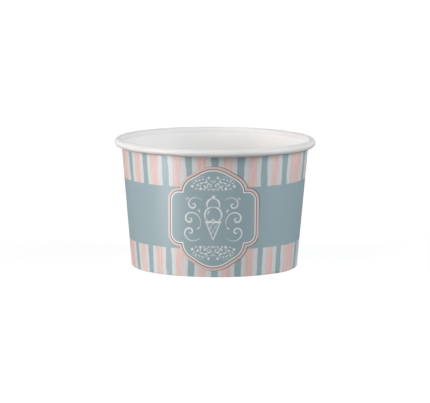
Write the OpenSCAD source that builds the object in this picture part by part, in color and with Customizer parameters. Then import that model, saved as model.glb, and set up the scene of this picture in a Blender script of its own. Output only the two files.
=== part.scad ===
// Small paper dessert cup with a rolled rim.
// A conical side wall is folded from one blank, whose ends lap in a glued side seam. Its upper edge
// is curled outward into the rim, and its lower edge is folded inward and up as a hem. The hem grips
// the skirt of a round bottom disc, which sits above the surface that the cup stands on.
// The origin is the centre of the foot, +Z is up, and the printed front faces -Y.

/* [Cup] */
// Diameter across the rolled rim
rim_d = 75; // [72:0.5:90]
// Diameter of the foot, where the wall meets the surface
base_d = 61.7; // [54:0.1:64]
// Height from the foot to the top of the rim
cup_h = 47.7; // [40:0.1:80]

/* [Paperboard] */
// Thickness of the side wall's board
wall_t = 0.3; // [0.2:0.05:0.4]
// Thickness of the bottom disc's board
disc_t = 0.3; // [0.2:0.05:0.4]

/* [Rolled rim] */
// Diameter of the roll, from the inside of the cup outward
bead_d = 2.9; // [2.6:0.1:4]
// Gap between the roll's first turn and the edge tucked inside it
tuck_gap = 0.05; // [0.02:0.01:0.1]
// How far the tucked edge turns on from the underside of the roll, in degrees
tuck_turn = 200; // [100:5:250]

/* [Foot] */
// Depth of the hollow between the surface and the bottom disc
foot_depth = 6.5; // [4.5:0.1:12]
// Gap between the upper edge of the hem and the bottom disc
hem_gap = 1; // [0.6:0.1:2]
// Outer radius of the bend where the disc turns down into its skirt
disc_bend_r = 0.6; // [0.5:0.05:0.9]
// Outer radius of the fold's two lower corners
fold_corner_r = 0.25; // [0.1:0.05:0.25]

/* [Side seam] */
// Width of the lap, measured round the foot
lap_w = 6; // [3:0.5:10]
// Turn of the seam's outer edge from the front of the cup towards its right side, in degrees
seam_turn = 60; // [0:5:355]
// Crease where the outer layer leaves the round of the wall, in degrees
ramp_crease = 2; // [1:0.5:3]

/* [Hidden] */
$fn = 180;

wall_colour = [0.62, 0.71, 0.73];
disc_colour = [0.95, 0.95, 0.94];

// The section is drawn with x as the distance from the axis and y as the height.
rim_r = rim_d / 2;
base_r = base_d / 2;
bead_r = bead_d / 2;
bead_c = [rim_r - bead_r, cup_h - bead_r];

// The wall's outer face runs from the foot's edge to a tangent on the inner circle of the roll.
bead_reach = bead_c - [base_r, 0];
taper = acos((bead_r - wall_t) / norm(bead_reach)) - atan2(bead_reach.y, bead_reach.x);
upward = [sin(taper), cos(taper)];
outward = [cos(taper), -sin(taper)];
inner_foot = [base_r - wall_t / cos(taper), 0];

// The edge tucked inside the roll turns about a lower centre, clear of the first turn.
tuck_r = bead_r - wall_t - tuck_gap;
tuck_c = bead_c - [0, wall_t + tuck_gap];

// A corner of the fold stays rounder inside the board than a pinch.
fold_r = min(fold_corner_r, 0.9 * wall_t);
hem_h = foot_depth - hem_gap;
bend_z = foot_depth + disc_t - disc_bend_r;

// Angles of the seam, counted from +X towards +Y
front_turn = -90;
lap_turn = lap_w / base_r * 180 / PI;
lap_end = front_turn + seam_turn;
lap_start = lap_end - lap_turn;
ramp_rest = 0.5;
ramp_turn = acos(base_r * cos(ramp_crease) / (base_r + wall_t / cos(taper))) - ramp_crease + ramp_rest;
ramp_start = lap_start - ramp_turn;
arc_step = 45;

// Point at height z on the face that lies n outside the wall's inner face
function face_at(n, z) = [inner_foot.x + z * tan(taper) + n / cos(taper), z];

// Centre of the fold's lower corner whose board ends at face n, on the outer (+1) or inner (-1) side
function corner_at(n, side) = face_at(n, fold_r) - [side * fold_r / cos(taper), 0];

// Sector of a disc, from angle a0 to angle a1
module sector(r, a0, a1) {
    steps = ceil((a1 - a0) / arc_step);
    reach = r / cos(arc_step / 2) + r;
    polygon(concat([[0, 0]], [
        for (i = [0 : steps])
            let (a = a0 + (a1 - a0) * i / steps)
            reach * [cos(a), sin(a)]
    ]));
}

// Band of board bent to an arc about a centre
module bent_band(centre, outer_r, inner_r, a0, a1) {
    translate(centre)
        intersection() {
            difference() {
                circle(outer_r);
                circle(inner_r);
            }
            sector(outer_r, a0, a1);
        }
}

// Rounded lower corner of the fold
module fold_corner(n, side) {
    translate(corner_at(n, side))
        intersection() {
            circle(fold_r);
            sector(fold_r, side > 0 ? -90 : 180 - taper, side > 0 ? -taper : 270);
        }
}

// Curled upper edge: three quarters of a full turn, then the edge tucked inside
module roll_section() {
    bent_band(bead_c, bead_r, bead_r - wall_t, -90, 180 - taper);
    bent_band(tuck_c, tuck_r, tuck_r - wall_t, 270 - tuck_turn, 270);
}

// Section of the wall, the fold and the hem. The second layer of the lap starts halfway into the
// first one, and its upper end lies inside the roll.
module wall_section(layers) {
    outer_n = layers * wall_t;
    inner_n = -disc_t - outer_n;
    sunk = (layers - 1) * wall_t / 2;
    upper_end = bead_c + (layers - 1) * wall_t * upward;
    outer_corner = corner_at(outer_n, 1);
    inner_corner = corner_at(inner_n, -1);
    polygon([
        [outer_corner.x, 0],
        outer_corner + fold_r * outward,
        upper_end - (bead_r - outer_n) * outward,
        upper_end - (bead_r - sunk) * outward,
        face_at(sunk, wall_t - sunk),
        face_at(-disc_t - sunk, wall_t - sunk),
        face_at(-disc_t - sunk, hem_h),
        face_at(inner_n, hem_h),
        inner_corner - fold_r * outward,
        [inner_corner.x, 0],
    ]);
    fold_corner(outer_n, 1);
    fold_corner(inner_n, -1);
}

// Room round the fold and the hem beside the lap, where they have one layer only
module foot_room_section() {
    inside = inner_foot.x - foot_depth;
    polygon([
        [inside, -fold_r],
        [rim_r, -fold_r],
        [rim_r, 2 * fold_r],
        face_at(-disc_t / 2, 2 * fold_r),
        face_at(-disc_t / 2, foot_depth),
        [inside, foot_depth],
    ]);
}

// The lap's second layer, and the slope beside it: the outer layer leaves the round of the wall at
// a faint crease, and runs straight to the lap.
module seam_lap() {
    block = 4 * cup_h;
    start = ramp_start - ramp_crease / 2;
    difference() {
        intersection() {
            rotate_extrude(start = start, angle = lap_end - start)
                wall_section(2);
            rotate(ramp_start)
                translate([base_r, 0, 0])
                rotate([0, taper, 0])
                rotate(-ramp_crease)
                translate([-block, -block / 2, -block / 2])
                cube(block);
        }
        rotate_extrude(start = start - ramp_crease, angle = lap_start - start + ramp_crease)
            foot_room_section();
    }
}

module side_wall() {
    color(wall_colour) {
        rotate_extrude() {
            wall_section(1);
            roll_section();
        }
        seam_lap();
    }
}

// Section of the bottom disc: a flat plate, a bend, and a skirt along the wall's inner face
module disc_section() {
    inner_bend_r = disc_bend_r - disc_t;
    bend_c = face_at(0, bend_z) - [disc_bend_r / cos(taper), 0];
    translate([0, foot_depth])
        square([bend_c.x, disc_t]);
    bent_band(bend_c, disc_bend_r, inner_bend_r, -taper, 90);
    polygon([
        face_at(-disc_t, wall_t),
        face_at(0, wall_t),
        bend_c + disc_bend_r * outward,
        bend_c + inner_bend_r * outward,
    ]);
}

module bottom_disc() {
    color(disc_colour)
        rotate_extrude()
            disc_section();
}

side_wall();
bottom_disc();
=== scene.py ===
# %% [markdown]
# # A small printed paper dessert cup
#
# The real cup is two pieces of coated paperboard. A fan-shaped blank is wrapped into a cone, glued
# along an upright seam, curled outward at the top into a rolled rim and folded inward at the foot.
# A round disc with a short skirt is gripped by that fold. All the shapes are shapes of revolution
# with a small change at the seam, so each one is made as a closed section carried round the axis.
# The print follows the wall as it would follow the flat blank, so it is worked out on the flat
# blank and stored on the wall's points as distances to its lines.

import math

import bpy
import numpy as np
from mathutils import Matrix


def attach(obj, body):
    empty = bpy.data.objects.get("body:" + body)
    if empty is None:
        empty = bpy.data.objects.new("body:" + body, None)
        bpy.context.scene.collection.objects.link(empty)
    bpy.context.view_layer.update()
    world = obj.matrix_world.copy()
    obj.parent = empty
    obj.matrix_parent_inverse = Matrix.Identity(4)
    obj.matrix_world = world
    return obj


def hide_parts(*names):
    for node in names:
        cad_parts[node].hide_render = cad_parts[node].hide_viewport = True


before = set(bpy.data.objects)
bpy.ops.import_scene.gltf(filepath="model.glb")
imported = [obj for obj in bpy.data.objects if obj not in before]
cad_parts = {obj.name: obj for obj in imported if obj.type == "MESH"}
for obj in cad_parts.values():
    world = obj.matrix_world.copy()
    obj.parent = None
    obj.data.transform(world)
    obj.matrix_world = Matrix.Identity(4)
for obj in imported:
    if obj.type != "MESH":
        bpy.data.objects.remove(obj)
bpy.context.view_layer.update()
print("frame loaded:", sorted(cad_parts))

# %% [markdown]
# ## The board's sizes
#
# These are the sizes of the folded blank in millimetres. The wall's outer face is a cone from the
# foot to the inside of the roll, and everything else is measured from it. Heights are counted from
# the table, and turns, in degrees, from the middle of the printed front towards the cup's right.

# %% Sizes of the blank, the roll, the foot and the seam
MM = 0.001
RIM_R = 37.5  # from the axis to the outside of the roll
BASE_R = 30.85  # from the axis to the wall's outer face at the table
CUP_H = 47.7
BOARD = 0.3  # thickness of the board
BEAD_R = 1.45  # outer radius of the roll
TUCK_GAP = 0.05  # air between the roll's first turn and the edge inside it
TUCK_TURN = 200  # how far that edge turns on
FOOT_DEPTH = 6.5  # from the table up to the disc
HEM_H = 5.5  # upper edge of the hem
FOLD_R = 0.25  # corners of the fold on the table
BEND_R = 0.6  # bend from the disc's plate to its skirt
LAP_W = 6.0  # width of the glued lap, measured round the foot
LAP_END = 60.0  # turn of the lap's cut edge
CREASE = 2.0  # turn of the outer layer where it leaves the round of the wall
RAMP_REST = 0.5  # the slope beside the lap is this much longer than its rise needs

# %% What follows from the sizes: the wall's lean and the place of the seam's slope
bead_c = np.array([RIM_R - BEAD_R, CUP_H - BEAD_R])
reach = bead_c - [BASE_R, 0]
taper = math.acos((BEAD_R - BOARD) / np.hypot(*reach)) - math.atan2(reach[1], reach[0])
lean = math.degrees(taper)
outward = np.array([math.cos(taper), -math.sin(taper)])
layer = BOARD / math.cos(taper)
inner_foot = BASE_R - layer
lap_start = LAP_END - math.degrees(LAP_W / BASE_R)
crease = math.radians(CREASE)
ramp_turn = math.degrees(math.acos(BASE_R * math.cos(crease) / (BASE_R + layer))) - CREASE + RAMP_REST
ramp_start = lap_start - ramp_turn
print(f"the wall leans out by {lean:.2f} degrees")
print(f"the seam slopes from {ramp_start:.1f} to {lap_start:.1f} degrees")

# %% [markdown]
# ## Arrays that become meshes
#
# A section is a list of points (distance from the axis, height). Carried round the axis it gives a
# grid of points, one row for each point of the section and one column for each turn. The grid is
# joined to itself across the last column, and across the last row too where the section is closed.
# A Screw modifier could carry a section round as well. An array was chosen because it keeps the
# row and column of every point, so that the seam can lift some of them and the print can give each
# one its distances.


# %% Section helpers: points on an arc and on the wall's faces
def arc(centre, radius, start, end, steps):
    """Points at equal turns on a circle: centre plus radius times (cosine, sine) of the turn."""
    turn = np.radians(np.linspace(start, end, steps + 1))
    return np.array(centre) + radius * np.column_stack([np.cos(turn), np.sin(turn)])


def face_at(depth, height):
    """Point on the wall's cone: the foot's inner radius, plus height times the tangent of the
    lean, plus the depth outside the inner face measured square to the board."""
    height = np.asarray(height, float)
    radius = inner_foot + height * math.tan(taper) + depth / math.cos(taper)
    return np.stack([radius, height], axis=-1)


# %% A grid of points into a mesh
SHARP_EDGE = math.radians(35)


def ring_faces(rows, cols, closed):
    """Corner numbers of the grid's quads: each point with its neighbours in the next column and
    row, counted round the ring; the last row joins the first one only on a closed section."""
    i = np.arange(rows if closed else rows - 1)[:, None]
    j = np.arange(cols)[None, :]
    below, above = i * cols, (i + 1) % rows * cols
    after = (j + 1) % cols
    return np.stack([below + j, below + after, above + after, above + j], axis=-1)


def board_object(name, points, quads, fans, paints, paint_index):
    """Mesh from points in millimetres, quads and triangles, smooth but for its sharp edges."""
    mesh = bpy.data.meshes.new(name)
    mesh.from_pydata((points * MM).tolist(), [], quads.reshape(-1, 4).tolist() + fans)
    for paint in paints:
        mesh.materials.append(paint)
    mesh.polygons.foreach_set("material_index", paint_index.astype(np.int32))
    mesh.polygons.foreach_set("use_smooth", np.ones(len(mesh.polygons), bool))
    mesh.set_sharp_from_angle(angle=SHARP_EDGE)
    mesh.update()
    piece = bpy.data.objects.new(name, mesh)
    bpy.context.scene.collection.objects.link(piece)
    triangles = sum(len(face.vertices) - 2 for face in mesh.polygons)
    print(f"{name}: {len(mesh.vertices)} points, {triangles} triangles")
    return piece


# %% [markdown]
# ## The section of the wall
#
# The blank is one sheet, so its section is one closed line: up the outside, round the inside of the
# roll and the edge tucked into it, back over the rim, down the inside of the cup, round the slot
# that holds the disc's skirt, and down the hem to the fold on the table. A thin sheet could be made
# thick by a Solidify modifier, but the layers in the roll and the fold lie so close that they would
# run into each other, so both faces of the board are drawn. The outside gets close rows where the
# print is fine.

# %% Rows of the outside, 0.24 mm apart where the plaque is printed
PRINT_LOW, PRINT_HIGH = 1.9, 41.9
PRINT_ROW = 0.24
LAST_GAP = 0.2  # the close rows end at least this much below PRINT_HIGH
FIRST_GAP = 0.27  # from the foot's corner up to the first row

corner_out = face_at(BOARD, FOLD_R) - [FOLD_R / math.cos(taper), 0]
foot_arc = arc(corner_out, FOLD_R, -90, -lean, 4)
wall_top = bead_c - (BEAD_R - BOARD) * outward
wall_heights = np.concatenate([
    np.linspace(foot_arc[-1, 1] + FIRST_GAP, PRINT_LOW, 6)[:-1],
    np.arange(PRINT_LOW, PRINT_HIGH - LAST_GAP, PRINT_ROW),
    np.linspace(PRINT_HIGH, wall_top[1], 12),
])
print("rows on the outside:", len(wall_heights))

# %% The wall's section, in the order that a pencil would follow it
INSIDE_GAP = 0.6  # from the roll's centre down to the first row of the inside
HEM_GAP = 0.2  # from the fold's corner up to the last row of the hem

corner_in = face_at(-2 * BOARD, FOLD_R) + [FOLD_R / math.cos(taper), 0]
tuck_r = BEAD_R - BOARD - TUCK_GAP
tuck_c = bead_c - [0, BOARD + TUCK_GAP]
section_parts = {
    "foot corner": foot_arc,
    "outside": face_at(BOARD, wall_heights),
    "roll inside": arc(bead_c, BEAD_R - BOARD, 180 - lean, -90, 20)[1:],
    "tuck inside": arc(tuck_c, tuck_r - BOARD, 270, 270 - TUCK_TURN, 12)[1:],
    "tuck outside": arc(tuck_c, tuck_r, 270 - TUCK_TURN, 270, 14)[:-1],
    "rim": arc(bead_c, BEAD_R, -90, 180 - lean, 44),
    "inside": face_at(0, np.linspace(bead_c[1] - INSIDE_GAP, BOARD, 10)),
    "slot": face_at(-BOARD, np.linspace(BOARD, HEM_H, 3)),
    "hem": face_at(-2 * BOARD, np.linspace(HEM_H, FOLD_R + HEM_GAP, 4)),
    "hem corner": arc(corner_in, FOLD_R, 180 - lean, 270, 4),
}
section = np.concatenate(list(section_parts.values()))
part_of = np.repeat(list(section_parts), [len(points) for points in section_parts.values()])
print("rows round the section:", len(section))

# %% [markdown]
# ## The seam
#
# The blank's outer end lies over its inner end and is glued to it. Beside the lap the outer layer
# leaves the round of the wall at a faint crease and runs straight, as stiff board does, until it
# lies on the inner end. Its cut edge stands 0.3 mm proud on the right of the front. The hem and
# the fold have the second layer only where the ends lap. The lap could be a strip of its own, but
# the two ends are glued face to face, so the second layer is added to the radius of the rows and
# columns that it covers, and the wall stays one closed piece.

# %% Turns of the columns, close together across the plaque and the seam
COARSE, FINE = 2, 0.4
FINE_FROM, FINE_TO = -32, 30
EDGE_TURN = 0.03  # the columns beside the lap's two ends are this close to them


def evenly(start, end, step):
    """Turns from start to end, both included, at equal steps as near to step as they can be."""
    return np.linspace(start, end, round((end - start) / step) + 1)


turns = np.unique(np.round(np.concatenate([
    evenly(-180, FINE_FROM, COARSE),
    evenly(FINE_FROM, FINE_TO, FINE),
    evenly(FINE_TO, 178, COARSE),
    np.linspace(ramp_start, lap_start, 12),
    [lap_start - EDGE_TURN, LAP_END + EDGE_TURN, LAP_END + 0.6, LAP_END + 1.2],
]), 4))
print("columns round the cup:", len(turns))

# %% Which rows and columns have the second layer
ROUNDING = 0.001  # turns that are nearer than this are the same turn


def rows_of(*names):
    """Column of truth values: the rows of the section that belong to the named parts."""
    return np.isin(part_of, names)[:, None]


on_slope = (turns >= ramp_start - ROUNDING) & (turns <= LAP_END + ROUNDING)
on_lap = (turns >= lap_start - ROUNDING) & (turns <= LAP_END + ROUNDING)
outside_row = rows_of("outside") & (section[:, 1:] > 2 * FOLD_R)
foot_row = rows_of("foot corner", "outside") & ~outside_row
hem_row = rows_of("hem", "hem corner")
print(f"the seam has {on_slope.sum()} columns, {on_lap.sum()} of them on the lap")

# %% The wall's points
# A straight line at a right angle to the crease lies at r * cos(crease) / cos(turn + crease) from
# the axis. What it gains on the round wall is the outer layer's rise, up to one board.
ahead = np.radians(turns - ramp_start) + crease
straight = section[:, :1] * (math.cos(crease) / np.cos(np.clip(ahead, -0.5, 0.5)) - 1)
slope = np.where(on_slope, np.clip(straight, 0, layer), 0)
extra = outside_row * slope + foot_row * on_lap * layer - hem_row * on_lap * layer

radius = section[:, :1] + extra
height = np.broadcast_to(section[:, 1:], radius.shape)
around = np.radians(turns)
wall_points = np.stack([radius * np.sin(around), -radius * np.cos(around), height], axis=-1)
print(f"the outer layer stands up to {extra.max():.2f} mm proud")

# %% [markdown]
# ## The print, as distances on the flat blank
#
# The stripes run up the wall, so they depend only on the turn: each repeat of 16 degrees has a
# teal stripe between two pale ones, and pink fills the rest. Three repeats are 24 degrees wide,
# one of them at the seam, and the repeat to the right of that one has no pink. The plaque and its
# ornament are drawn on the flattened cone, where straight lines and circles stay true. The print
# could be an image wrapped round the wall, but an image blurs when it is looked at closely. Here
# only distances to the lines are stored, and the finish turns them into inks, so that the lines
# stay sharp between the points.

# %% Distance in degrees from the nearest teal stripe, and from the painted highlight, a pale strip just right of the lap's cut edge
REPEAT = 16
SEAM_STRIPE = 72.6
NO_PINK_TURN, NO_PINK_HALF = 80, 8
PALE_AT = 4.5  # a distance from teal at which the stripes are pale
# A pale strip just right of the lap's cut edge is a painted highlight of that edge.
EDGE_HIGHLIGHT_TURN = LAP_END + 0.6
EDGE_HIGHLIGHT_FAR = 5
teal_turns = np.concatenate([
    np.arange(-64, 49, REPEAT),
    [SEAM_STRIPE],
    np.arange(88, 169, REPEAT),
    np.arange(192, 273, REPEAT),
])


def turn_between(a, b):
    """Shortest way round from b to a in degrees, from 0 to 180."""
    return np.abs((a - b + 180) % 360 - 180)


stripe = turn_between(turns[:, None], teal_turns[None, :]).min(axis=1)
no_pink = turn_between(turns, NO_PINK_TURN) < NO_PINK_HALF
stripe = np.where(no_pink, np.minimum(stripe, PALE_AT), stripe)
edge_highlight = np.minimum(turn_between(turns, EDGE_HIGHLIGHT_TURN), EDGE_HIGHLIGHT_FAR)
print("teal stripes:", len(teal_turns), "half of the widest gap:", stripe.max())

# %% The flattened cone round the plaque
# Unrolled, a point of the cone keeps its distance from the cone's tip, and its turn shrinks by the
# sine of the lean. The middle of the plaque becomes the origin of the drawing.
PLAQUE_TURN = -0.9
PLAQUE_H = 21.85
DRAWN_TURN, DRAWN_HALF = -1, 31.5

slant = face_at(BOARD, section[:, 1])[:, :1] / math.sin(taper)
slant_mid = face_at(BOARD, PLAQUE_H)[0] / math.sin(taper)
fan = np.radians(turns - PLAQUE_TURN) * math.sin(taper)
drawn_rows = rows_of("outside")[:, 0] & (section[:, 1] >= PRINT_LOW) & (section[:, 1] < PRINT_HIGH)
near = np.ix_(drawn_rows, np.abs(turns - DRAWN_TURN) < DRAWN_HALF)
flat_x = (slant * np.sin(fan))[near]
flat_y = (slant * np.cos(fan) - slant_mid)[near]
print(f"drawing on {flat_x.size} points, {np.ptp(flat_x):.1f} by {np.ptp(flat_y):.1f} mm")

# %% The plaque is a wide box with rounded corners, joined to a tall form with domed ends
BOX_HALF_W, BOX_HALF_H, BOX_CORNER = 15.9, 9.45, 3.2
FORM_HALF_W = 11.3
SHOULDER_R, SHOULDER_Y = 6.0, 9.23
CAP_Y = 9.37
FLANK_LEAN = math.radians(59)


def rounded_box(x, y, half_w, half_h, corner):
    """Distance to a box with round corners: the distance to the smaller sharp box that its corner
    centres span, less the corner's radius."""
    over_x = np.abs(x) - half_w + corner
    over_y = np.abs(y) - half_h + corner
    outside = np.hypot(np.maximum(over_x, 0), np.maximum(over_y, 0))
    return outside + np.minimum(np.maximum(over_x, over_y), 0) - corner


# %% The domed form, and the plaque that both make together
def domed_form(x, y):
    """Distance to an outline of an upright side, a shoulder arc, a straight flank and a cap arc,
    which meet without a corner: each point takes the piece whose normal it lies on."""
    x, y = np.abs(x), np.abs(y)
    c, s = math.cos(FLANK_LEAN), math.sin(FLANK_LEAN)
    shoulder_x = FORM_HALF_W - SHOULDER_R
    flank_end = CAP_Y * c + shoulder_x * s - SHOULDER_Y * c
    cap_r = shoulder_x * c + SHOULDER_Y * s + SHOULDER_R - CAP_Y * s
    dx, dy = x - shoulder_x, y - SHOULDER_Y
    along = dy * c - dx * s
    side = x - FORM_HALF_W
    shoulder = np.hypot(dx, dy) - SHOULDER_R
    flank = dx * c + dy * s - SHOULDER_R
    cap = np.hypot(x, y - CAP_Y) - cap_r
    return np.select([dy < 0, along < 0, along < flank_end], [side, shoulder, flank], cap)


def plaque_outline(x, y):
    """Distance to the nearer of the box and the domed form, which are printed as one shape."""
    return np.minimum(rounded_box(x, y, BOX_HALF_W, BOX_HALF_H, BOX_CORNER), domed_form(x, y))


# %% Distances to the plaque, and to its dark line, which is printed a little to the right
DARK_SHIFT = 0.4
plaque = plaque_outline(flat_x, flat_y)
dark_line = plaque_outline(flat_x - DARK_SHIFT, flat_y)
print(f"inside the plaque: {(plaque < 0).mean():.0%} of the points drawn on")


# %% Pens for the ornament: an ellipse, and a stroke that swells in its middle
def ellipse(x, y, cx, cy, rx, ry, tilt=0.0):
    """Near distance to a turned ellipse: its own equation scaled back by its smaller radius."""
    c, s = math.cos(math.radians(tilt)), math.sin(math.radians(tilt))
    u = (x - cx) * c + (y - cy) * s
    v = (y - cy) * c - (x - cx) * s
    return (np.hypot(u / rx, v / ry) - 1) * min(rx, ry)


def stroke(x, y, path, thin, thick):
    """Distance to a line of short straight pieces less half the pen's width, which goes from thin
    at both ends to thick in the middle as half a sine wave."""
    a, b = path[:-1], path[1:]
    step = b - a
    length_squared = np.maximum((step**2).sum(1), 1e-9)
    px, py = x[..., None] - a[:, 0], y[..., None] - a[:, 1]
    t = np.clip((px * step[:, 0] + py * step[:, 1]) / length_squared, 0, 1)
    where = (np.arange(len(a)) + t) / len(a)
    pen = thin + (thick - thin) * np.sin(math.pi * where)
    return (np.hypot(px - t * step[:, 0], py - t * step[:, 1]) - pen).min(axis=-1)


# %% More pens: a small flower, the path of a scroll, and a net of crossing lines
def rosette(x, y, cx, cy, size, petals, tilt):
    """Distance to a small flower: a circle whose radius swells as the cosine of the petals' turn."""
    dx, dy = x - cx, y - cy
    swell = 0.7 + 0.3 * np.cos(petals * (np.arctan2(dy, dx) - math.radians(tilt)))
    return np.hypot(dx, dy) - size * swell


def scroll(centre, first_r, last_r, start, turn):
    """Path of a scroll: a spiral whose radius shrinks by the same share in each degree of turn."""
    s = np.linspace(0, 1, 40)
    radius = first_r * (last_r / first_r) ** s
    angle = np.radians(start + turn * s)
    return np.array(centre) + radius[:, None] * np.column_stack([np.cos(angle), np.sin(angle)])


def lattice(x, y, slope, pitch, half_line):
    """Distance to two sets of slanting lines less half a line: how far x plus or minus slope times
    y is from the middle of its pitch, times 0.85, the cosine of a slant of 0.62."""
    middle = pitch / 2
    rising = np.abs((x + slope * y) % pitch - middle)
    falling = np.abs((x - slope * y) % pitch - middle)
    return np.minimum(rising, falling) * 0.85 - half_line


# %% [markdown]
# ## The ornament
#
# Lacy sprigs fill the plaque's head and foot, as on much old-fashioned printed tinware: two scrolls
# that meet in the middle, and twigs with leaves, berries and small flowers beside them. Between the
# sprigs stands a plain drawing of a cornet with two scoops and scrolls on both sides. Each mark is
# a distance too, from a stroke of the pen or an ellipse, and the smallest of them all is kept, so
# that marks which touch run together as wet ink does. Nearly all of the ornament is symmetric, so
# it is drawn on the distance from the middle line, and the sprig is drawn once and turned over for
# the foot.

# %% Places of one sprig's flowers, leaves and berries, in millimetres from the plaque's middle
FLOWERS = (
    # x, y, size, petals, tilt
    (4.6, 11.1, 0.72, 5, 90), (7.7, 12.0, 0.74, 5, 120),
    (1.65, 15.3, 0.68, 5, 60), (6.35, 14.1, 0.46, 4, 20),
)
LEAVES = (
    # x, y, half length, half width, tilt
    (3.05, 11.9, 0.72, 0.3, 60), (2.75, 13.7, 0.62, 0.26, -35), (5.75, 12.45, 0.62, 0.26, 50),
    (4.3, 13.25, 0.55, 0.25, -30), (6.25, 11.1, 0.5, 0.22, 10), (3.8, 14.75, 0.46, 0.26, 20),
    (2.3, 14.3, 0.36, 0.2, 70), (4.75, 12.25, 0.4, 0.2, 80), (3.3, 10.9, 0.42, 0.24, 120),
    (7.1, 13.15, 0.44, 0.22, 40), (5.1, 14.4, 0.4, 0.22, -60), (0.75, 14.1, 0.34, 0.18, 60),
)
BERRIES = np.concatenate([
    arc((2.6, 9.1), 5.75, 50, 88, 4),
    arc((3.0, 9.0), 6.75, 46, 84, 6),
    [[0.6, 11.2], [1.75, 10.75]],
])
BERRY_R = 0.2
FOOT_SHIFT = 0.4  # the foot's sprig lies this much nearer to the middle
print(f"a sprig has {len(FLOWERS)} flowers, {len(LEAVES)} leaves and {len(BERRIES)} berries a side")


# %% Sprigs in the head and the foot of the plaque
def sprig(x, y):
    """Smallest distance to the scrolls, flowers, leaves and berries of one sprig, for the head."""
    x = np.abs(x)
    return np.minimum.reduce([
        stroke(x, y, scroll((1.3, 12.25), 1.55, 0.3, -132, 470), 0.1, 0.17),
        stroke(x, y, arc((3.1, 9.3), 4.2, 42, 128, 12), 0.08, 0.12),
        ellipse(x, y, 0, 13.85, 0.2, 0.6),
        ellipse(x, y, 0, 10.7, 0.28, 0.28),
        *[rosette(x, y, *flower) for flower in FLOWERS],
        *[ellipse(x, y, *leaf) for leaf in LEAVES],
        *[np.hypot(x - cx, y - cy) - BERRY_R for cx, cy in BERRIES],
    ])


sprigs = np.minimum(sprig(flat_x, flat_y), sprig(flat_x, FOOT_SHIFT - flat_y))
print(f"the sprigs cover {(sprigs < 0).mean():.1%} of the drawing")

# %% The cornet: a cone with a waffle net, two scoops, a drip, a glint and a cherry
CONE_HALF_W = 2.6
CONE_TOP, CONE_TIP = -1.3, -7.9
side_x = np.abs(flat_x)
cone_width = CONE_HALF_W * (flat_y - CONE_TIP) / (CONE_TOP - CONE_TIP)
in_cone = np.maximum(side_x - cone_width, flat_y - CONE_TOP)
cone_side = np.array([[CONE_HALF_W, CONE_TOP], [0.0, CONE_TIP]])
cone_lip = np.array([[0.0, -1.35], [3.0, -1.15]])
cornet = np.minimum.reduce([
    stroke(side_x, flat_y, cone_side, 0.16, 0.22),
    stroke(side_x, flat_y, cone_lip, 0.2, 0.3),
    np.maximum(lattice(flat_x, flat_y, 0.62, 1.9, 0.09), in_cone),
    stroke(side_x, flat_y, arc((0, 1.4), 3.05, 90, -42, 22), 0.12, 0.32),
    stroke(side_x, flat_y, arc((0, 5.3), 2.3, 90, -30, 20), 0.12, 0.32),
    stroke(side_x, flat_y, arc((1.3, 0.0), 1.1, 180, 350, 12), 0.14, 0.24),
    stroke(flat_x, flat_y, arc((0, 1.4), 2.0, 125, 175, 8), 0.1, 0.22),
    ellipse(flat_x, flat_y, 0.15, 8.2, 0.62, 0.58),
])
print(f"the cornet covers {(cornet < 0).mean():.1%} of the drawing")

# %% Scrolls and leaves on both sides of the cornet, and the whole ornament
scrolls = np.minimum.reduce([
    stroke(side_x, flat_y, scroll((8.5, -5.1), 4.4, 0.35, -152, 500), 0.09, 0.3),
    stroke(side_x, flat_y, scroll((8.6, -0.4), 4.5, 0.35, 212, -520), 0.09, 0.34),
    stroke(side_x, flat_y, scroll((7.3, 5.0), 3.6, 0.3, 148, -500), 0.09, 0.28),
    ellipse(side_x, flat_y, 5.2, 2.9, 0.8, 0.26, 60),
    ellipse(side_x, flat_y, 5.4, -3.6, 0.8, 0.26, -35),
    ellipse(side_x, flat_y, 9.6, 7.3, 0.7, 0.24, -25),
])
ornament = np.minimum.reduce([sprigs, cornet, scrolls])
print(f"the ornament covers {(ornament < 0).mean():.1%} of the drawing")

# %% [markdown]
# ## Finishes
#
# Cup board is bleached pulp with a clay coating, which has a soft satin shine. The printed side is
# varnished and shinier, and the rim a little shinier than the inside; its board is painted greyer as
# shade. Fine fibre grain goes in as a bump, and the shine is a little cloudy; both are noise on the
# piece's own coordinates, so they turn with it. The inks are uneven too, with wavy edges and streaks
# that run up the wall.
# Each ink is laid over the last one where a stored distance passes an edge, as a printer lays down
# plates.

# %% Colours as they look on a screen, made linear
SCREEN_FULL = 255


def ink(red, green, blue):
    """Linear colour of a screen colour from 0 to 255: the standard curve, undone."""
    value = np.array([red, green, blue]) / SCREEN_FULL
    linear = np.where(value <= 0.04045, value / 12.92, ((value + 0.055) / 1.055) ** 2.4)
    return (*linear.tolist(), 1.0)


# %% A helper that builds a material's nodes
GRAIN_DEPTH, GRAIN_STRENGTH = 0.00002, 0.35
CLOUDY_SHINE = 0.05


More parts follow.
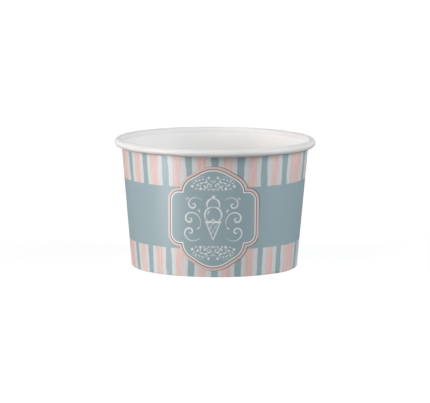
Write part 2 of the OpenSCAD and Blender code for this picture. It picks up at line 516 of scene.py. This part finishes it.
class Finish:
    """A material whose nodes are added in the order that they are spoken of."""

    def __init__(self, name):
        """An empty material with an output."""
        self.material = bpy.data.materials.new(name)
        self.material.use_nodes = True
        self.tree = self.material.node_tree
        self.tree.nodes.clear()
        self.out = self.tree.nodes.new("ShaderNodeOutputMaterial")

    def node(self, kind, **settings):
        """A new node of a kind, with its own settings."""
        made = self.tree.nodes.new(kind)
        for key, value in settings.items():
            setattr(made, key, value)
        return made

    def feed(self, socket, value):
        """Give an input what another node puts out, or a plain value."""
        if isinstance(value, bpy.types.NodeSocket):
            self.tree.links.new(value, socket)
        else:
            socket.default_value = value

    def maths(self, operation, a, b):
        """The result of one operation on two values."""
        made = self.node("ShaderNodeMath", operation=operation)
        self.feed(made.inputs[0], a)
        self.feed(made.inputs[1], b)
        return made.outputs[0]

    def past(self, value, edge, soft):
        """0 before the edge and 1 past it, with a smooth step 2 * soft wide."""
        made = self.node("ShaderNodeMapRange", interpolation_type="SMOOTHSTEP")
        self.feed(made.inputs["Value"], value)
        made.inputs["From Min"].default_value = edge - soft
        made.inputs["From Max"].default_value = edge + soft
        return made.outputs["Result"]

    def before(self, value, edge, soft):
        """1 before the edge and 0 past it: one less the step at the edge."""
        return self.maths("SUBTRACT", 1.0, self.past(value, edge, soft))

    def between(self, value, low, high, soft):
        """1 from low to high and 0 elsewhere: the step at low less the step at high."""
        return self.maths("SUBTRACT", self.past(value, low, soft), self.past(value, high, soft))

    def lay(self, under, over, where):
        """The colour over, laid on the colour under where the mask is 1."""
        made = self.node("ShaderNodeMix", data_type="RGBA")
        self.feed(made.inputs[0], where)
        self.feed(made.inputs[6], under)
        self.feed(made.inputs[7], over)
        return made.outputs[2]

    def stored(self, name):
        """A distance that the mesh carries on its points."""
        return self.node("ShaderNodeAttribute", attribute_name=name).outputs["Fac"]

    def noise(self, scale, detail, stretch=(1, 1, 1), rough=0.5):
        """Cloudy values from 0 to 1 on the piece's own coordinates, in features per metre."""
        place = self.node("ShaderNodeTexCoord").outputs["Object"]
        mapping = self.node("ShaderNodeMapping")
        self.feed(mapping.inputs["Vector"], place)
        mapping.inputs["Scale"].default_value = stretch
        made = self.node("ShaderNodeTexNoise")
        self.feed(made.inputs["Vector"], mapping.outputs[0])
        made.inputs["Scale"].default_value = scale
        made.inputs["Detail"].default_value = detail
        made.inputs["Roughness"].default_value = rough
        return made.outputs["Fac"]

    def board(self, colour, roughness, ior):
        """Coated board in a colour: its roughness clouded by noise, and fibre grain as a bump."""
        shader = self.node("ShaderNodeBsdfPrincipled")
        self.feed(shader.inputs["Base Color"], colour)
        shader.inputs["IOR"].default_value = ior
        cloudy = self.node("ShaderNodeMapRange")
        self.feed(cloudy.inputs["Value"], self.noise(260, 3))
        cloudy.inputs["To Min"].default_value = roughness - CLOUDY_SHINE
        cloudy.inputs["To Max"].default_value = roughness + CLOUDY_SHINE
        self.feed(shader.inputs["Roughness"], cloudy.outputs["Result"])
        bump = self.node("ShaderNodeBump")
        bump.inputs["Strength"].default_value = GRAIN_STRENGTH
        bump.inputs["Distance"].default_value = GRAIN_DEPTH
        self.feed(bump.inputs["Height"], self.noise(2600, 4, rough=0.6))
        self.feed(shader.inputs["Normal"], bump.outputs["Normal"])
        self.tree.links.new(shader.outputs[0], self.out.inputs["Surface"])
        return self.material


# %% Unprinted board: white for the inside, hem and disc, greyer on the rim as painted shade, bare on the cut edge
CLOUD_DROP = (5, 5, 6)
FIBRE_DROP = (12, 12, 14)
FIBRE_SHARE = 0.22


def white_board(name, tone, roughness=0.6, ior=1.3):
    """Board of one tone, a little darker in faint clouds and in fibres that run up the wall."""
    finish = Finish(name)
    cloudy = finish.lay(ink(*np.subtract(tone, CLOUD_DROP)), ink(*tone), finish.noise(90, 4))
    fibres = finish.noise(1500, 3, stretch=(1, 1, 0.35))
    fibre_mask = finish.maths("MULTIPLY", fibres, FIBRE_SHARE)
    fibrous = finish.lay(cloudy, ink(*np.subtract(tone, FIBRE_DROP)), fibre_mask)
    return finish.board(fibrous, roughness, ior)


white_paper = white_board("white coated board", (250, 249, 249))
# The rim's board is painted greyer than the inside's: that grey is painted shade on the rim.
shaded_rim_paper = white_board("white rim board greyed as painted shade", (240, 239, 239), roughness=0.5, ior=1.4)
disc_paper = white_board("white disc board", (246, 245, 245))
cut_paper = white_board("cut edge of the board", (226, 222, 214))
print("unprinted finishes ready")

# %% The inks
TEAL = ink(159, 181, 188)
PALE, PALE_STREAK = ink(225, 226, 227), ink(219, 225, 224)
PINK, PINK_STREAK = ink(234, 199, 193), ink(241, 223, 218)
CREAM, BROWN = ink(248, 245, 240), ink(148, 129, 122)
SALMON, DARK = ink(231, 208, 204), ink(130, 119, 118)
MOTIF = ink(244, 247, 247)
print("teal is", [round(part, 3) for part in TEAL[:3]], "in linear light")

# %% Printed board: the stripes, by their turn from the nearest teal stripe
TEAL_HALF, TEAL_SOFT = 2.15, 0.12
PINK_FROM, PINK_SOFT = 5.3, 0.15
WAVER = 2.4  # degrees that the stripes' edges would wander over the noise's whole range
PINK_STREAKS, PALE_STREAKS = 0.55, 0.6
EDGE_HIGHLIGHT_HALF, EDGE_HIGHLIGHT_SOFT, EDGE_HIGHLIGHT_SHARE = 0.55, 0.1, 0.6

printed = Finish("printed coated board")
wander = printed.maths("SUBTRACT", printed.noise(300, 3, stretch=(1, 1, 0.4)), 0.5)
stripe_at = printed.maths("ADD", printed.stored("stripe"), printed.maths("MULTIPLY", wander, WAVER))
streaks = printed.past(printed.noise(1300, 2, stretch=(1, 1, 0.05), rough=0.6), 0.5, 0.13)
pink = printed.lay(PINK, PINK_STREAK, printed.maths("MULTIPLY", streaks, PINK_STREAKS))
pale = printed.lay(PALE, PALE_STREAK, printed.maths("MULTIPLY", streaks, PALE_STREAKS))
colour = printed.lay(TEAL, pale, printed.past(stripe_at, TEAL_HALF, TEAL_SOFT))
colour = printed.lay(colour, pink, printed.past(stripe_at, PINK_FROM, PINK_SOFT))
# The pale strip beside the lap's cut edge is a painted highlight of that edge, laid over the stripes.
edge_highlight_mask = printed.before(printed.stored("edge_highlight"), EDGE_HIGHLIGHT_HALF, EDGE_HIGHLIGHT_SOFT)
colour = printed.lay(colour, PALE, printed.maths("MULTIPLY", edge_highlight_mask, EDGE_HIGHLIGHT_SHARE))
print("stripes ready:", len(printed.tree.nodes), "nodes")

# %% The plain band is cut out of the stripes by its height in millimetres
BAND_LOW, BAND_HIGH = 10.4, 33.4
LINE_SOFT = 0.07
place = printed.node("ShaderNodeTexCoord").outputs["Object"]
split = printed.node("ShaderNodeSeparateXYZ")
printed.feed(split.inputs[0], place)
height_mm = printed.maths("MULTIPLY", split.outputs["Z"], 1 / MM)
colour = printed.lay(colour, TEAL, printed.between(height_mm, BAND_LOW, BAND_HIGH, LINE_SOFT))
print(f"the band is {BAND_HIGH - BAND_LOW:.1f} mm high")

# %% The plaque lies over both: its dark, salmon, brown and cream lines, and teal inside them
DARK_FROM, DARK_TO, DARK_SOFT, DARK_SHARE = 1.2, 1.65, 0.08, 0.8
SALMON_FROM, SALMON_TO = 0.55, 1.45
BROWN_FROM, BROWN_TO = 0.2, 0.64
CREAM_HALF = 0.24
INSIDE_SOFT = 0.05

plaque_at = printed.stored("plaque")
dark_mask = printed.between(printed.stored("dark_line"), DARK_FROM, DARK_TO, DARK_SOFT)
colour = printed.lay(colour, DARK, printed.maths("MULTIPLY", dark_mask, DARK_SHARE))
colour = printed.lay(colour, SALMON, printed.between(plaque_at, SALMON_FROM, SALMON_TO, LINE_SOFT))
colour = printed.lay(colour, BROWN, printed.between(plaque_at, BROWN_FROM, BROWN_TO, LINE_SOFT))
colour = printed.lay(colour, CREAM, printed.between(plaque_at, -CREAM_HALF, CREAM_HALF, LINE_SOFT))
colour = printed.lay(colour, TEAL, printed.before(plaque_at, -CREAM_HALF, INSIDE_SOFT))
print(f"the plaque's edge is {DARK_TO + CREAM_HALF:.2f} mm wide")

# %% The ornament in a pale ink that is worn thin in places, and the varnish over all
WORN_LEAST, WORN_SPREAD = 0.76, 0.3
VARNISH_ROUGHNESS, VARNISH_IOR = 0.36, 1.6
ornament_mask = printed.before(printed.stored("ornament"), 0.0, LINE_SOFT)
wear = printed.maths("MULTIPLY", printed.noise(1800, 2), WORN_SPREAD)
cover = printed.maths("ADD", wear, WORN_LEAST)
colour = printed.lay(colour, MOTIF, printed.maths("MULTIPLY", ornament_mask, cover))
printed_paper = printed.board(colour, VARNISH_ROUGHNESS, VARNISH_IOR)
print("printed finish ready:", len(printed.tree.nodes), "nodes")

# %% [markdown]
# ## The folded wall
#
# The wall takes four finishes: ink on the outside, board painted greyer as shade on the rim, bare
# pulp on the cut edge of the lap, and white board everywhere else. Its points carry the print's
# distances and the place of a painted highlight beside the cut edge, so the print needs neither an
# image nor an unwrapped surface.

# %% The wall as a mesh
PRINTED, WHITE, CUT, SHADED_RIM = range(4)
rows, cols = radius.shape
printed_row = rows_of("foot corner", "outside")[:, 0]
paint_index = np.full((rows, cols), WHITE)
paint_index[printed_row] = PRINTED
paint_index[printed_row, np.argmin(np.abs(turns - LAP_END))] = CUT
# The rim rows take the greyer board, which paints shade on the rim.
paint_index[rows_of("rim")[:, 0]] = SHADED_RIM
wall = board_object(
    "printed_wall", wall_points.reshape(-1, 3), ring_faces(rows, cols, True), [],
    [printed_paper, white_paper, cut_paper, shaded_rim_paper], paint_index.ravel(),
)

# %% The print's distances on its points
FAR = 6.0  # everything beyond this distance in millimetres is the same to the finish


def store(piece, name, values):
    """Keep one number for each point of a piece, under a name that its finish reads."""
    kept = piece.data.attributes.new(name, "FLOAT", "POINT")
    kept.data.foreach_set("value", values.ravel().astype(np.float32))


for name, drawn in (("plaque", plaque), ("dark_line", dark_line), ("ornament", ornament)):
    field = np.full((rows, cols), FAR)
    field[near] = np.minimum(drawn, FAR)
    store(wall, name, field)
# The painted highlight beside the cut edge is stored by its turn, with the stripes.
for name, by_turn in (("stripe", stripe), ("edge_highlight", edge_highlight)):
    store(wall, name, np.broadcast_to(by_turn, (rows, cols)))
print("the print's distances are on the wall's points")
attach(wall, "root")
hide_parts("side_wall")

# %% [markdown]
# ## The bottom disc
#
# A flat plate with its edge pressed down into a skirt, like a shallow lid. It could be a cylinder
# with a bevelled edge, but the skirt has to lie along the wall's inner face, so it is made from the
# same cone as the wall, as a section carried round. The plate has no rows near the axis: a fan of
# triangles closes each face there.

# %% The disc's section
PLATE_RINGS = 12
HUB_R = 4
SKIRT_TOP = 4.5
bend_c = face_at(0, FOOT_DEPTH + BOARD - BEND_R) - [BEND_R / math.cos(taper), 0]
plate_radii = np.linspace(HUB_R, bend_c[0], PLATE_RINGS)
disc_section = np.concatenate([
    np.column_stack([plate_radii, np.full(PLATE_RINGS, FOOT_DEPTH + BOARD)])[:-1],
    arc(bend_c, BEND_R, 90, -lean, 8),
    face_at(0, np.linspace(SKIRT_TOP, BOARD, 3)),
    face_at(-BOARD, np.linspace(BOARD, SKIRT_TOP, 3)),
    arc(bend_c, BEND_R - BOARD, -lean, 90, 6),
    np.column_stack([plate_radii[::-1], np.full(PLATE_RINGS, FOOT_DEPTH)])[1:],
])
disc_turns = np.radians(np.arange(0, 360, 2))
disc_points = np.stack([
    disc_section[:, :1] * np.sin(disc_turns),
    -disc_section[:, :1] * np.cos(disc_turns),
    np.broadcast_to(disc_section[:, 1:], (len(disc_section), len(disc_turns))),
], axis=-1).reshape(-1, 3)
print("rows round the disc's section:", len(disc_section))

# %% The disc's two poles, the fans round them, and the mesh
n_rows, n_cols = len(disc_section), len(disc_turns)
poles = np.array([[0, 0, FOOT_DEPTH + BOARD], [0, 0, FOOT_DEPTH]])
upper_pole, lower_pole = n_rows * n_cols, n_rows * n_cols + 1
last_row = (n_rows - 1) * n_cols
spokes = np.arange(n_cols)
next_spokes = (spokes + 1) % n_cols
fans = np.concatenate([
    np.column_stack([np.full(n_cols, upper_pole), next_spokes, spokes]),
    np.column_stack([np.full(n_cols, lower_pole), last_row + spokes, last_row + next_spokes]),
]).tolist()
disc_quads = ring_faces(n_rows, n_cols, False)
disc = board_object(
    "bottom_board", np.concatenate([disc_points, poles]), disc_quads, fans,
    [disc_paper], np.zeros(disc_quads.size // 4 + len(fans), int),
)
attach(disc, "root")
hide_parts("bottom_disc")


# %% Which way the faces point: the volume inside them has to come out positive
def board_volume(piece):
    """Cubic millimetres inside a closed mesh: for each triangle a sixth of its first corner's dot
    product with the cross product of the other two, summed; below zero if the faces point in."""
    mesh = piece.data
    corners = np.empty(len(mesh.vertices) * 3)
    mesh.vertices.foreach_get("co", corners)
    mesh.calc_loop_triangles()
    triangles = np.empty(len(mesh.loop_triangles) * 3, np.int32)
    mesh.loop_triangles.foreach_get("vertices", triangles)
    a, b, c = corners.reshape(-1, 3)[triangles.reshape(-1, 3)].transpose(1, 0, 2)
    return (a * np.cross(b, c)).sum() / 6 / MM**3


for piece in (wall, disc):
    volume = board_volume(piece)
    if volume < 0:
        piece.data.flip_normals()
    print(f"{piece.name}: {abs(volume):.0f} cubic mm of board, {'turned' if volume < 0 else 'kept'}")

# %% [markdown]
# ## Floor, background and light
#
# The cup stands on a plain white floor that runs out of view. Brighter lamps could make a floor
# white, but they would bleach the cup with it. So to the camera the floor is a grey that takes the
# cup's shadow, and a glow that makes it white. The glow is a little weaker near the cup, where it
# would wash the faint shadow out. All other rays meet a plain grey floor. Three warm softboxes on
# the left and a cool one on the right leave the middle of the front a little darker, which is what
# shows that the cup is round. Three more lamps count in the shine alone, and put the soft
# highlights on the varnish.

# %% A square floor just under the cup
FLOOR_HALF, FLOOR_DROP = 5.0, 0.00002


def plain_floor(half, drop):
    """One square face from -half to half, a hair under the table's height."""
    mesh = bpy.data.meshes.new("floor")
    corners = [(-half, -half, -drop), (half, -half, -drop), (half, half, -drop), (-half, half, -drop)]
    mesh.from_pydata(corners, [], [(0, 1, 2, 3)])
    piece = bpy.data.objects.new("floor", mesh)
    bpy.context.scene.collection.objects.link(piece)
    return piece


floor = plain_floor(FLOOR_HALF, FLOOR_DROP)
print("the floor is", 2 * FLOOR_HALF, "m wide")

# %% The floor's glow, which rises with the distance from the cup in metres
GLOW_NEAR, GLOW_FAR = 0.88, 1.0
NEAR_CUP, FAR_FROM_CUP = 0.05, 0.4
floor_finish = Finish("white floor")
floor_spot = floor_finish.node("ShaderNodeTexCoord").outputs["Object"]
from_cup = floor_finish.node("ShaderNodeVectorMath", operation="LENGTH")
floor_finish.feed(from_cup.inputs[0], floor_spot)
fade = floor_finish.node("ShaderNodeMapRange", interpolation_type="SMOOTHSTEP")
floor_finish.feed(fade.inputs["Value"], from_cup.outputs["Value"])
fade.inputs["From Min"].default_value = NEAR_CUP
fade.inputs["From Max"].default_value = FAR_FROM_CUP
fade.inputs["To Min"].default_value = GLOW_NEAR
fade.inputs["To Max"].default_value = GLOW_FAR
glow = floor_finish.node("ShaderNodeEmission")
floor_finish.feed(glow.inputs["Strength"], fade.outputs["Result"])
print("the glow is full from", FAR_FROM_CUP, "m on")

# %% Grey with a glow to the camera, plain grey to all other rays
SEEN_GREY, FLOOR_GREY = 0.22, 0.3
seen_matt = floor_finish.node("ShaderNodeBsdfDiffuse")
seen_matt.inputs["Color"].default_value = (SEEN_GREY, SEEN_GREY, SEEN_GREY, 1)
floor_matt = floor_finish.node("ShaderNodeBsdfDiffuse")
floor_matt.inputs["Color"].default_value = (FLOOR_GREY, FLOOR_GREY, FLOOR_GREY, 1)
seen_floor = floor_finish.node("ShaderNodeAddShader")
floor_finish.feed(seen_floor.inputs[0], seen_matt.outputs[0])
floor_finish.feed(seen_floor.inputs[1], glow.outputs[0])
floor_rays = floor_finish.node("ShaderNodeLightPath")
choose = floor_finish.node("ShaderNodeMixShader")
floor_finish.feed(choose.inputs[0], floor_rays.outputs["Is Camera Ray"])
floor_finish.feed(choose.inputs[1], floor_matt.outputs[0])
floor_finish.feed(choose.inputs[2], seen_floor.outputs[0])
floor_finish.feed(floor_finish.out.inputs["Surface"], choose.outputs[0])
floor.data.materials.append(floor_finish.material)
print("floor finish ready:", len(floor_finish.tree.nodes), "nodes")

# %% World: white to the camera and in the shine, an even soft light to everything else
WORLD_LIGHT, WORLD_WHITE = 0.15, 1.0
world = bpy.data.worlds.new("studio")
bpy.context.scene.world = world
world.use_nodes = True
air = world.node_tree
air.nodes.clear()
air_out = air.nodes.new("ShaderNodeOutputWorld")
air_mix = air.nodes.new("ShaderNodeMixShader")
air_rays = air.nodes.new("ShaderNodeLightPath")
for strength, socket in ((WORLD_LIGHT, 1), (WORLD_WHITE, 2)):
    light = air.nodes.new("ShaderNodeBackground")
    light.inputs["Color"].default_value = (1, 1, 1, 1)
    light.inputs["Strength"].default_value = strength
    air.links.new(light.outputs[0], air_mix.inputs[socket])
sees_white = air_rays.outputs["Is Camera Ray"]
for kind in ("Is Transmission Ray", "Is Glossy Ray"):
    either = air.nodes.new("ShaderNodeMath")
    either.operation = "MAXIMUM"
    air.links.new(sees_white, either.inputs[0])
    air.links.new(air_rays.outputs[kind], either.inputs[1])
    sees_white = either.outputs[0]
air.links.new(sees_white, air_mix.inputs[0])
air.links.new(air_mix.outputs[0], air_out.inputs["Surface"])
print("the world is ready")

# %% Soft lamps
LAMP_DISTANCE = 0.9
AIM_H = 0.024
WARM, COOL, BLUE = (1.0, 0.97, 0.95), (0.95, 0.98, 1.0), (0.85, 0.93, 1.0)
SOFTBOXES = (
    # name, turn, lift, width, height, power, colour
    ("low left softbox", -70, 4, 0.16, 0.2, 1.45, WARM),
    ("left softbox", -70, 16, 0.2, 0.5, 4.3, WARM),
    ("high left softbox", -40, 40, 0.35, 0.7, 1.6, WARM),
    ("right softbox", 65, 26, 0.35, 0.7, 5.4, COOL),
)
SHINES = (
    ("low left shine", -57, 1, 0.18, 0.12, 9.5, BLUE),
    ("left shine", -62, 6, 0.16, 0.5, 5.6, WARM),
    ("right shine", 75, 6, 0.16, 0.5, 4.6, BLUE),
)


def soft_lamp(name, turn, lift, width, tall, power, colour):
    """Area lamp on a sphere round the cup: turn from the front towards the right, lift above the
    table, aimed at the cup's middle."""
    lamp = bpy.data.lights.new(name, "AREA")
    lamp.shape = "RECTANGLE"
    lamp.size, lamp.size_y = width, tall
    lamp.energy, lamp.color = power, colour
    holder = bpy.data.objects.new(name, lamp)
    turn, lift = math.radians(turn), math.radians(lift)
    level = np.array([math.sin(turn), -math.cos(turn), 0]) * math.cos(lift)
    holder.location = (level + [0, 0, math.sin(lift)]) * LAMP_DISTANCE + [0, 0, AIM_H]
    holder.rotation_euler = (math.pi / 2 - lift, 0, turn)
    bpy.context.scene.collection.objects.link(holder)
    return holder


for softbox in SOFTBOXES:
    soft_lamp(*softbox)
for shine in SHINES:
    soft_lamp(*shine).visible_diffuse = False
print("lamps placed:", len(SOFTBOXES) + len(SHINES))

# %% [markdown]
# ## Camera
#
# A long lens from a little above: the rim shows as a narrow ellipse, and the upper and lower edges
# of the wall curve nearly alike. A shorter lens from nearer by would open the rim and pinch the
# foot. The small shift and roll are those of the picture's own framing.

# %% Camera at the picture's angle
LENS, FILM_W = 301.95, 36
DISTANCE, LIFT, ROLL = 1.347, 7.856, 0.3
PICTURE_W, PICTURE_H = 430, 403
CENTRE_X, CENTRE_Y = 214.67, 201.24  # where the lens points in the picture, in pixels
camera = bpy.data.cameras.new("camera")
camera.lens = LENS
camera.sensor_width = FILM_W
camera.sensor_fit = "HORIZONTAL"
camera.clip_start, camera.clip_end = 0.05, 20
camera.shift_x = (PICTURE_W / 2 - CENTRE_X) / PICTURE_W
camera.shift_y = (CENTRE_Y - PICTURE_H / 2) / PICTURE_W
eye = bpy.data.objects.new("camera", camera)
eye_lift = math.radians(LIFT)
eye.location = (0, -DISTANCE * math.cos(eye_lift), CUP_H / 2 * MM + DISTANCE * math.sin(eye_lift))
eye.rotation_euler = (math.pi / 2 - eye_lift, 0, 0)
bpy.context.scene.collection.objects.link(eye)
bpy.context.view_layer.update()
eye.rotation_euler.rotate_axis("Z", math.radians(ROLL))
bpy.context.scene.camera = eye
bpy.context.scene.view_settings.view_transform = "Standard"
print("the camera stands", DISTANCE, "m from the cup")
